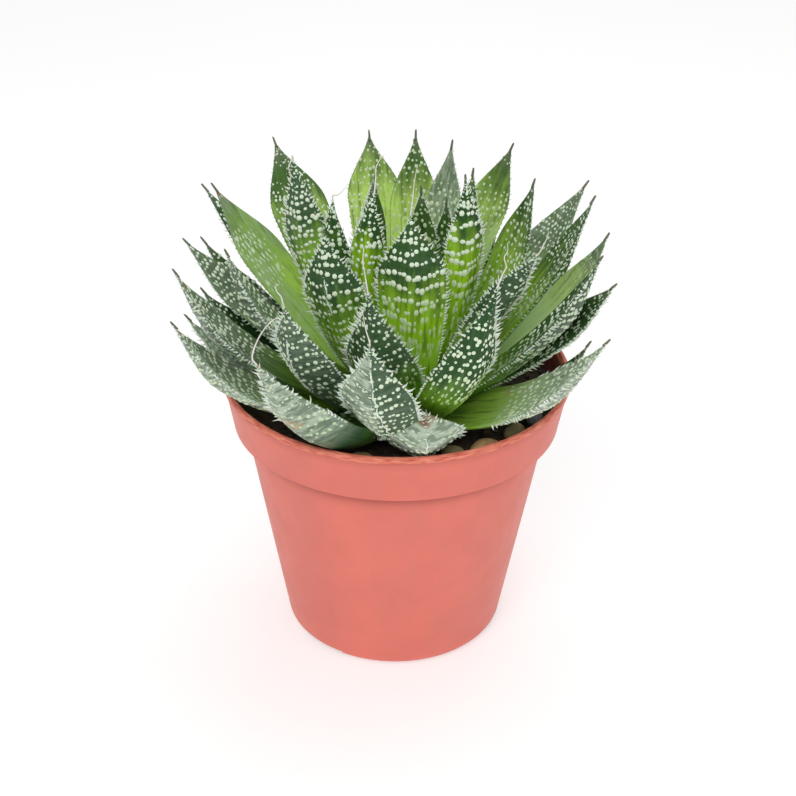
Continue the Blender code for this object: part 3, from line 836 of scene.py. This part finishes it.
class Leaf:
    """One leaf's mid line and skin, as functions of the share of its length."""

    def __init__(self, name, row):
        azimuth, reach, height, width, sag = row[:5]
        roll, bend, self.peak, self.root = (*row[5:], *USUAL_SHAPE[len(row) - 5:])
        self.name = name
        self.group = name.split("_")[0]
        look = LOOKS.get(name, LOOKS[self.group])
        self.glow, self.inner_dark, self.outer_dark, self.frost, self.bands = look
        self.half = 0.5 * width * MM
        angle = math.radians(azimuth)
        self.out = np.array([math.cos(angle), math.sin(angle), 0.0])
        self.side = np.array([-math.sin(angle), math.cos(angle), 0.0])
        self.up = np.array([0.0, 0.0, 1.0])
        lowness = min(reach * MM / WIDEST_REACH, 1.0)
        root_height = INNER_ROOT_HEIGHT + (OUTER_ROOT_HEIGHT - INNER_ROOT_HEIGHT) * lowness
        root_radius = INNER_ROOT_RADIUS + (OUTER_ROOT_RADIUS - INNER_ROOT_RADIUS) * lowness
        self.start = np.array([root_radius, root_height])
        self.end = np.array([reach * MM, height * MM])
        chord = self.end - self.start
        self.length = float(np.hypot(*chord)) * LENGTH_OVER_CHORD
        below = np.array([chord[1], -chord[0]]) / np.hypot(*chord)
        self.middle = (self.start + self.end) / 2 + 2 * sag * MM * below
        self.roll = math.radians(roll)
        self.bend = bend * MM

    def frame(self, share):
        """Centre, side direction and upper direction at each share."""
        share = np.asarray(share, dtype=float)[:, None]
        rest = 1 - share
        line = rest ** 2 * self.start + 2 * share * rest * self.middle + share ** 2 * self.end
        heading = unit(rest * (self.middle - self.start) + share * (self.end - self.middle))
        swing = 4 * self.bend * share * rest
        foot = np.array([AXIS_X, AXIS_Y, 0.0])
        centre = foot + line[:, :1] * self.out + line[:, 1:] * self.up + swing * self.side
        upper = heading[:, :1] * self.up - heading[:, 1:] * self.out
        across = math.cos(self.roll) * self.side + math.sin(self.roll) * upper
        face = math.cos(self.roll) * upper - math.sin(self.roll) * self.side
        return centre, across, face

    def breadth(self, share):
        return self.half * leaf_width(np.asarray(share, dtype=float), self.peak, self.root)

    def rim(self, share):
        """How thick the margin is."""
        return np.minimum(RIM_THICKNESS, 0.3 * self.breadth(share))

    def skin(self, share, side, inner):
        """Points of the skin: side runs -1 to 1 from margin to margin, inner is 1 or 0."""
        share = np.asarray(share, dtype=float)
        side = np.asarray(side, dtype=float)
        centre, across, face = self.frame(share)
        breadth = self.breadth(share)
        rim = self.rim(share)
        keel = KEEL_AT_ROOT + (KEEL_AT_TIP - KEEL_AT_ROOT) * share
        above = -HOLLOW * breadth * (1 - side ** 2)
        depth = LEAF_DEPTH * self.half * leaf_width(share, self.peak, min(self.root, DEEPEST_ROOT))
        below = -2 * rim - (depth - rim) * (1 - np.abs(side) ** keel)
        lift = np.where(inner > 0.5, above, below)
        return centre + (side * breadth)[:, None] * across + lift[:, None] * face

    def skin_frame(self, share, side, inner):
        """Point, outward normal and direction towards the tip on the skin."""
        step = 0.004
        side_step = 0.03
        point = self.skin(share, side, inner)
        ahead = self.skin(np.minimum(share + step, 1), side, inner)
        behind = self.skin(share - step, side, inner)
        right = self.skin(share, np.minimum(side + side_step, 1), inner)
        left = self.skin(share, np.maximum(side - side_step, -1), inner)
        along = unit(ahead - behind)
        normal = unit(np.cross(right - left, along))
        outward = np.where(inner > 0.5, 1.0, -1.0)[:, None] * self.frame(share)[2]
        flip = np.sign(np.sum(normal * outward, axis=1, keepdims=True))
        return point, normal * flip, along


ROSETTE = [Leaf(name, row) for name, row in LEAVES.items()]


def leaf_mesh(leaf):
    """Points and faces of one leaf, and the share, side and inner value of each point."""
    shares = 1 - (1 - np.linspace(0, 1, STATIONS)[:-1]) ** 1.25
    inner_sides = np.linspace(0.96, -0.96, INNER_COLUMNS)
    outer_sides = np.linspace(-0.96, 0.96, OUTER_COLUMNS)
    sides = np.concatenate([inner_sides, [-1.0], outer_sides, [1.0]])
    inner = np.concatenate([np.ones(INNER_COLUMNS), [0.5], np.zeros(OUTER_COLUMNS), [0.5]])
    columns = len(sides)
    share = np.repeat(shares, columns)
    side = np.tile(sides, len(shares))
    inner = np.tile(inner, len(shares))
    points = leaf.skin(share, side, inner)
    edge = inner == 0.5
    centre, across, face = leaf.frame(share[edge])
    breadth = leaf.breadth(share[edge])
    points[edge] = centre + (side[edge] * breadth)[:, None] * across - leaf.rim(share[edge])[:, None] * face
    ripple = np.array([noise.noise(Vector(point) * 90) for point in points])
    points += 0.25 * MM * ripple[:, None] * leaf.frame(share)[2] * smooth_step(share, 0.0, 0.3)[:, None]
    points = np.concatenate([points, leaf.frame([1.0])[0], leaf.frame([0.0])[0]])
    faces = [
        (low, high, high_after, low_after)
        for low, low_after, high_after, high in ring_faces(len(shares), columns)
    ]
    last = (len(shares) - 1) * columns
    for column in range(columns):
        after = (column + 1) % columns
        faces.append((last + column, len(points) - 2, last + after))
        faces.append((after, len(points) - 1, column))
    places = (np.append(share, [1.0, 0.0]), np.append(side, [0.0, 0.0]), np.append(inner, [0.5, 0.5]))
    return points, faces, places


def scar_values(leaf, inner, across_mm, down_mm):
    """How marked each point is, and how brown the mark is."""
    scar = np.zeros(len(inner))
    tone = np.zeros(len(inner))
    for name, share, side, face, length_mm, width_mm, brown in SCARS:
        if name != leaf.name:
            continue
        middle_mm = side * float(leaf.breadth(share)) / MM
        far = np.hypot((down_mm - share * leaf.length / MM) / length_mm, (across_mm - middle_mm) / width_mm)
        near = (1 - smooth_step(far, 0.4, 1.2)) * (np.abs(inner - face) < 0.6)
        scar = np.maximum(scar, near)
        tone = np.where(near > 0, brown, tone)
    return scar, tone


def leaf_values(leaf, number, share, side, inner):
    """What the flesh's material needs at each point of a leaf."""
    frosted = np.ones(len(share)) if leaf.name in ALL_FROSTED else 1 - inner
    if leaf.name in HALF_FROSTED:
        frosted = frosted * (0.15 + 0.85 * smooth_step(-side, -0.15, 0.15))
    bare = BARE_ROOTS.get(leaf.name, USUAL_BARE_ROOT)
    frost = leaf.frost * frosted * smooth_step(share, bare - 0.14, bare + 0.16)
    glow = np.full(len(share), leaf.glow)
    if leaf.name in BRIGHT_SIDED:
        right = inner * smooth_step(-side, -0.05, 0.10) * (1 - smooth_step(share, 0.55, 0.72))
        glow = glow + right * (BRIGHT_SIDE_GLOW - leaf.glow)
        frost = frost * (1 - 0.9 * right)
    dry_reach = DRY_TIPS.get(leaf.name, USUAL_DRY_TIP)
    across_mm = side * leaf.breadth(share) / MM
    down_mm = share * leaf.length / MM
    scar, scar_tone = scar_values(leaf, inner, across_mm, down_mm)
    return {
        "share": share,
        "inner": inner,
        "glow": glow,
        "dark_from": inner * leaf.inner_dark + (1 - inner) * leaf.outer_dark,
        "frost": frost,
        "pale": inner * (1 - smooth_step(share, 0.50, 0.78)) * (leaf.name in PALE_ROOTS),
        "dry": smooth_step(share, 1 - 1.5 * dry_reach, 1 - 0.5 * dry_reach),
        "across": across_mm,
        "down": down_mm,
        "number": np.full(len(share), number),
        "scar": scar,
        "scar_tone": scar_tone,
    }


def make_leaves(finish):
    forms = []
    values = []
    for number, leaf in enumerate(ROSETTE):
        points, faces, places = leaf_mesh(leaf)
        forms.append((points, faces))
        values.append(leaf_values(leaf, number, *places))
    columns = {name: np.concatenate([row[name] for row in values]) for name in values[0]}
    rosette_piece("leaves", forms, finish, **columns)


def make_crown(finish):
    """Stem and the smooth clasping leaf bases inside the rosette."""
    profile = [
        (0.0, STEM_FOOT),
        (STEM_RADIUS, STEM_FOOT),
        (STEM_RADIUS, CROWN_BOTTOM),
        (0.9 * CROWN_RADIUS, CROWN_BOTTOM + 1 * MM),
        (CROWN_RADIUS, CROWN_BOTTOM + 8 * MM),
        (0.95 * CROWN_RADIUS, CROWN_BOTTOM + 13 * MM),
        (0.75 * CROWN_RADIUS, CROWN_TOP - 6 * MM),
        (0.45 * CROWN_RADIUS, CROWN_TOP - 2 * MM),
        (0.0, CROWN_TOP),
    ]
    crown = turned("crown", profile, 48, finish)
    x, _, height = points_of(crown.data).T
    add_values(crown, "across", x / MM)
    add_values(crown, "down", height / MM)
    for name, value in (("share", 0.3), ("inner", 0.3), ("glow", 0.4), ("dark_from", 0.5)):
        add_values(crown, name, np.full(len(x), value))
    for vertex in crown.data.vertices:
        vertex.co.x += AXIS_X
        vertex.co.y += AXIS_Y
    place(crown, "leaf_flesh", "rosette")


# Dots, teeth and threads

def domes(point, normal, along, width, length, height):
    """Low rounded warts: points (count, 13, 3) and the faces of one."""
    across = unit(np.cross(normal, along))
    ahead = unit(np.cross(across, normal))
    angles = 2 * np.pi * np.arange(DOME_SIDES) / DOME_SIDES
    cosines = np.cos(angles)[None, :, None]
    sines = np.sin(angles)[None, :, None]
    point = point[:, None, :]
    crosswise = (width[:, None] * across)[:, None, :]
    lengthwise = (length[:, None] * ahead)[:, None, :]
    upward = (height[:, None] * normal)[:, None, :]
    rings = [point + upward]
    for reach, lift in ((0.62, 0.78), (1.0, -0.35)):
        rings.append(point + reach * (cosines * crosswise + sines * lengthwise) + lift * upward)
    faces = []
    for side in range(DOME_SIDES):
        after = (side + 1) % DOME_SIDES
        faces.append((0, 1 + side, 1 + after))
        faces.append((1 + side, 1 + DOME_SIDES + side, 1 + DOME_SIDES + after))
        faces.append((1 + side, 1 + DOME_SIDES + after, 1 + after))
    return np.concatenate(rings, axis=1), np.array(faces)


def spikes(point, heading, curl, width, length):
    """Curved four-sided points: points (count, 9, 3) and the faces of one."""
    first = unit(np.cross(heading, curl))
    second = unit(np.cross(heading, first))
    half_way = point + length[:, None] * (0.5 * heading + 0.05 * curl)
    base = []
    middle = []
    for turn in range(4):
        angle = math.pi / 2 * turn + math.pi / 4
        rim = width[:, None] * (math.cos(angle) * first + math.sin(angle) * second)
        base.append(point + rim)
        middle.append(half_way + 0.5 * rim)
    tip = point + length[:, None] * unit(heading + 0.3 * curl)
    faces = []
    for turn in range(4):
        after = (turn + 1) % 4
        faces.append((turn, after, 4 + after))
        faces.append((turn, 4 + after, 4 + turn))
        faces.append((4 + turn, 4 + after, 8))
    return np.stack(base + middle + [tip], axis=1), np.array(faces)


def spread(points, faces):
    """Joins many copies of one small form into one form."""
    count, size, _ = points.shape
    shifted = faces[None, :, :] + size * np.arange(count)[:, None, None]
    return points.reshape(-1, 3), shifted.reshape(-1, faces.shape[1]).tolist()


def dot_kind(leaf, inner):
    if not inner:
        return "outer"
    for kind, names in (("coarse", COARSE), ("fine", FINE), ("dashed", DASHED)):
        if leaf.name in names:
            return kind
    return "plain"


def dot_rows(leaf, draw, inner):
    """Shares, sides, half-widths, half-lengths and fading of the dots on one face of a leaf."""
    rows = []
    kind = dot_kind(leaf, inner)
    start, pitch, gap, radius, longer, longer_low = DOT_KINDS[kind]
    start = max(start, BARE_ROOTS.get(leaf.name, 0.0))
    ramp = 0.14 if kind == "coarse" and leaf.name in BARE_ROOTS else 0.30
    bands = leaf.bands
    if inner:
        bands = 0.0
    else:
        radius = DOT_SIZES[leaf.group] + 0.16 * bands
    share = start + 0.02 * draw.random()
    while share < DOTS_END:
        breadth = float(leaf.breadth(share))
        phase = draw.uniform(0, 6.3)
        high = float(smooth_step(share, 0.72, 0.95))
        low = 1 - float(smooth_step(share, start, start + ramp))
        banded = bands * (1 - high) * (1 - 0.5 * low)
        drawn_out = min(1.0, 1.4 * bands) * (1 - float(smooth_step(share, 0.52, 0.74)))
        link = 0.12 + 0.72 * banded * (1 - 0.4 * drawn_out)
        across = -breadth * DOTS_EDGE + draw.uniform(0, 1.2 * MM)
        while across < breadth * DOTS_EDGE:
            frost = 0.0 if inner else leaf.frost
            if leaf.name in HALF_FROSTED and across > 0:
                frost = 0.1
            wave = (0.6 + 0.5 * frost) * MM * math.sin(phase + across / (2.0 * MM))
            at = share + (wave + draw.uniform(-0.3, 0.3) * MM) / leaf.length
            size = radius * MM * draw.uniform(0.62, 1.18) * (1 - 0.25 * high) * (1 - 0.30 * low)
            size *= 1 - 0.25 * frost
            broad = size * (1.0 + 0.45 * banded * draw.random() + 0.6 * frost) * (1 - 0.32 * drawn_out)
            tall = size * (1 + longer + longer_low * low + draw.uniform(-0.1, 0.3))
            tall *= (1 - 0.35 * frost) * (1 + 0.15 * drawn_out)
            rows.append((at, across / breadth, broad, tall, max(low, 0.55 * drawn_out)))
            if draw.random() < link:
                across += broad * 1.6
            else:
                across += gap * MM * draw.uniform(0.75, 1.25) * (1 - 0.3 * high)
        step = pitch * MM * (1 + 0.75 * banded) * (1 - 0.25 * high) * draw.uniform(0.85, 1.15)
        share += step / leaf.length
    return np.array(rows)


def make_dots():
    """White warts in broken cross rows on both faces of every leaf."""
    finish = dot_finish()
    for inner, name, height in ((1, "dots_inner", 0.22), (0, "dots_outer", 0.34)):
        draw = random.Random(SEED + 2 + inner)
        forms = []
        fades = []
        glows = []
        for leaf in ROSETTE:
            share, side, broad, tall, low = dot_rows(leaf, draw, inner).T
            share = np.clip(share, 0.05, 0.985)
            side = np.clip(side, -0.95, 0.95)
            point, normal, along = leaf.skin_frame(share, side, np.full(len(share), inner))
            form, form_faces = domes(point, normal, along, broad, tall, broad * height * (1 - 0.5 * low))
            forms.append(spread(form, form_faces))
            fade = 0.8 * low * (1 - 0.5 * leaf.frost)
            if not inner:
                fade = fade + DOT_FADES[leaf.group]
            elif leaf.name not in COARSE + FINE:
                fade = fade + 0.35 * leaf.glow
            fades.append(np.repeat(np.clip(fade, 0, 1), form.shape[1]))
            glows.append(np.full(form.shape[0] * form.shape[1], leaf.glow))
        rosette_piece(name, forms, finish, fade=np.concatenate(fades), glow=np.concatenate(glows))


def fine_teeth(leaf, draw, share, end, direction, *limits):
    """Rows for fine teeth. Heading, side, length and step to the next are drawn within the limits."""
    rows = []
    while share < end:
        sideways, forward, upward, side, length, step = [draw.uniform(*pair) for pair in limits]
        heading = (direction * sideways, forward, upward)
        rows.append((share, direction * side, *heading, FINE_TOOTH_WIDTH, MM * length))
        share += MM * step / leaf.length
    return rows


def tooth_rows(leaf, draw):
    """Shares, sides, headings, widths and lengths of the teeth of one leaf."""
    rows = []
    grade = TOOTH_GRADES.get(leaf.name, TOOTH_GRADES[leaf.group])
    for direction in (1, -1):
        share = max(TEETH_START, BARE_ROOTS.get(leaf.name, 0.0))
        while share < TEETH_END:
            grown = float(smooth_step(share, 0.20, 0.5))
            slim = 1 - 0.40 * float(smooth_step(share, 0.86, 1.0))
            heading = (direction * draw.uniform(0.6, 1.0), draw.uniform(0.1, 0.9), draw.uniform(-0.6, 0.25))
            width = (0.20 + 0.18 * grade) * MM * slim
            length = MM * draw.uniform(1.1, 2.6) * (0.45 + 0.55 * grown) * slim * grade
            rows.append((share, direction * MARGIN_SIDE, *heading, width, length))
            share += MM * (draw.uniform(0.6, 1.5) + max(0.0, 0.8 - grade)) / leaf.length
        rows += fine_teeth(leaf, draw, *BESIDE_MARGIN, direction, *BESIDE_MARGIN_LIMITS)
    keel_start = CRESTS[leaf.name][0] if leaf.name in CRESTS else KEEL_TEETH_START
    rows += fine_teeth(leaf, draw, keel_start, TEETH_END, 1, *KEEL_LIMITS)
    return np.array(rows)


def make_teeth(finish):
    """White soft teeth along the margins, and finer ones beside them, at the tip and on the keel."""
    draw = random.Random(SEED + 5)
    forms = []
    for leaf in ROSETTE:
        rows = tooth_rows(leaf, draw)
        share, side, sideways, forward, upward, width, length = rows.T
        across, face = leaf.frame(share)[1:]
        point, _, along = leaf.skin_frame(share, side, np.zeros(len(rows)))
        heading = unit(sideways[:, None] * across + forward[:, None] * along + upward[:, None] * face)
        form, form_faces = spikes(point - 0.15 * MM * heading, heading, along, width, length)
        forms.append(spread(form, form_faces))
    rosette_piece("teeth", forms, finish)


def tube(route, widths, sides=6):
    """A tapering tube along a route, closed at both ends."""
    route = np.asarray(route)
    headings = unit(np.gradient(route, axis=0))
    first = unit(np.cross(headings, [0.31, 0.87, 0.12]))
    second = np.cross(headings, first)
    points = []
    for centre, one, two, width in zip(route, first, second, widths):
        for side in range(sides):
            angle = 2 * math.pi * side / sides
            points.append(centre + width * (math.cos(angle) * one + math.sin(angle) * two))
    faces = ring_faces(len(route), sides)
    last = (len(route) - 1) * sides
    faces.append(tuple(last + side for side in range(sides)))
    faces.append(tuple(sides - 1 - side for side in range(sides)))
    return points, faces


def make_crests(finish):
    """Thin white crests along the keels of some leaves, broken here and there."""
    draw = random.Random(SEED + 6)
    forms = []
    for leaf in ROSETTE:
        if leaf.name not in CRESTS:
            continue
        first, end, start_side = CRESTS[leaf.name]
        share = first
        while share < end:
            reach = min(MM * draw.uniform(3.5, 9) / leaf.length, end - share)
            stations = np.linspace(share, share + reach, 14)
            sides = 0.02 * np.sin(stations * 70) + np.array([draw.uniform(-0.012, 0.012) for _ in stations])
            sides += start_side * (end - stations) / (end - first)
            route, normal = leaf.skin_frame(stations, sides, np.zeros(len(stations)))[:2]
            swell = np.sin(np.pi * np.linspace(0.06, 1, len(stations))) ** 0.5
            widths = swell * MM * np.array([draw.uniform(0.20, 0.34) for _ in stations])
            forms.append(tube(route + 0.05 * MM * normal, widths))
            share += reach + MM * draw.uniform(0.1, 0.6) / leaf.length
    rosette_piece("keel_crests", forms, finish)


def smooth_route(points, steps=6):
    """A smooth curve through the points."""
    padded = [2 * points[0] - points[1], *points, 2 * points[-1] - points[-2]]
    route = []
    for before, start, end, after in zip(padded, padded[1:], padded[2:], padded[3:]):
        for step in range(steps):
            t = step / steps
            route.append(0.5 * (
                2 * start + (end - before) * t
                + (2 * before - 5 * start + 4 * end - after) * t ** 2
                + (3 * start - before - 3 * end + after) * t ** 3
            ))
    route.append(points[-1])
    return np.array(route)


def make_threads():
    """Dry thread-like tips: long curly ones on some leaves, short points on the others."""
    draw = random.Random(SEED + 8)
    forms = []
    creams = []
    for leaf in ROSETTE:
        before, tip = leaf.frame([0.965, 1.0])[0]
        long = leaf.name in THREADS
        if long:
            stops = [tip + MM * np.array(stop) for stop in THREADS[leaf.name]]
            thick = 0.24 * MM
            taper = 0.75
        else:
            heading = unit(tip - before)
            reach = draw.uniform(0.2, 0.7) * MM
            drift = [draw.uniform(-0.2, 0.2), draw.uniform(-0.2, 0.2), draw.uniform(-0.1, 0.1)]
            stops = [tip + 0.5 * reach * heading, tip + reach * heading + MM * np.array(drift)]
            thick = 0.40 * MM
            taper = 0.92
        route = smooth_route([before, tip, *stops])
        points, faces = tube(route, thick * (1 - taper * np.linspace(0, 1, len(route)) ** 1.2))
        forms.append((points, faces))
        creams += [float(long)] * len(points)
    rosette_piece("tip_threads", forms, thread_finish(), cream=creams)


# Floor, light and camera

def make_floor():
    """A plain floor with a little glow of its own, so that it stays white around the pot."""
    finish = Finish(
        "floor", Roughness=0.9, Specular_IOR_Level=0.1, Emission_Color=(1, 1, 1, 1), Emission_Strength=0.53,
    )
    finish.colour(finish.layer((0.60, 0.60, 0.605), (0.62, 0.62, 0.62), 1.0, 0.3, 0.7, 3, 2, 0.5))
    reach = 3.0
    points = [(-reach, -reach, 0), (reach, -reach, 0), (reach, reach, 0), (-reach, reach, 0)]
    floor = new_object("floor", points, [(0, 1, 2, 3)], finish.material, smooth=False)


def look_at(made, spot, target):
    """Puts an object at a spot, with its -Z axis towards the target."""
    made.location = spot
    made.rotation_mode = "QUATERNION"
    made.rotation_quaternion = (Vector(target) - Vector(spot)).to_track_quat("-Z", "Y")
    bpy.context.scene.collection.objects.link(made)


def make_light(name, spot, size, power, colour):
    light = bpy.data.lights.new(name, "AREA")
    light.shape = "SQUARE"
    light.size = size
    light.energy = power
    light.color = colour
    look_at(bpy.data.objects.new(name, light), spot, LIT_SPOT)


def make_studio():
    world = bpy.data.worlds.new("studio")
    world.use_nodes = True
    sky = world.node_tree.nodes["Background"]
    sky.inputs["Color"].default_value = (1.0, 1.0, 1.0, 1.0)
    sky.inputs["Strength"].default_value = 0.42
    bpy.context.scene.world = world
    make_light("key", (-0.2, -0.85, 0.95), 0.6, 5.3, (1.0, 0.99, 0.97))
    make_light("fill", (0.7, -0.8, 0.5), 0.8, 1.2, (0.98, 0.99, 1.0))
    make_light("top", (0.1, 0.3, 1.1), 0.7, 3.6, (1.0, 1.0, 1.0))


def make_camera():
    """The photograph's view."""
    elevation = math.radians(CAMERA_ELEVATION)
    back = Vector((0, -math.cos(elevation), math.sin(elevation)))
    data = bpy.data.cameras.new("camera")
    data.sensor_width = SENSOR_WIDTH
    data.sensor_height = SENSOR_WIDTH
    data.sensor_fit = "HORIZONTAL"
    data.lens = SENSOR_WIDTH * FOCAL_LENGTH_PIXELS / PHOTO_WIDTH_PIXELS
    camera = bpy.data.objects.new("camera", data)
    look_at(camera, CAMERA_TARGET + CAMERA_DISTANCE * back, CAMERA_TARGET)
    camera.rotation_quaternion @= Quaternion((0, 0, 1), math.radians(CAMERA_ROLL))
    bpy.context.scene.camera = camera


make_camera()
make_pot()
make_soil()
make_crumbs()
make_pebbles()
flesh = leaf_finish()
make_leaves(flesh)
make_crown(flesh)
make_dots()
white = tooth_finish()
make_teeth(white)
make_crests(white)
make_threads()
make_floor()
make_studio()
bpy.context.scene.view_settings.view_transform = "Standard"
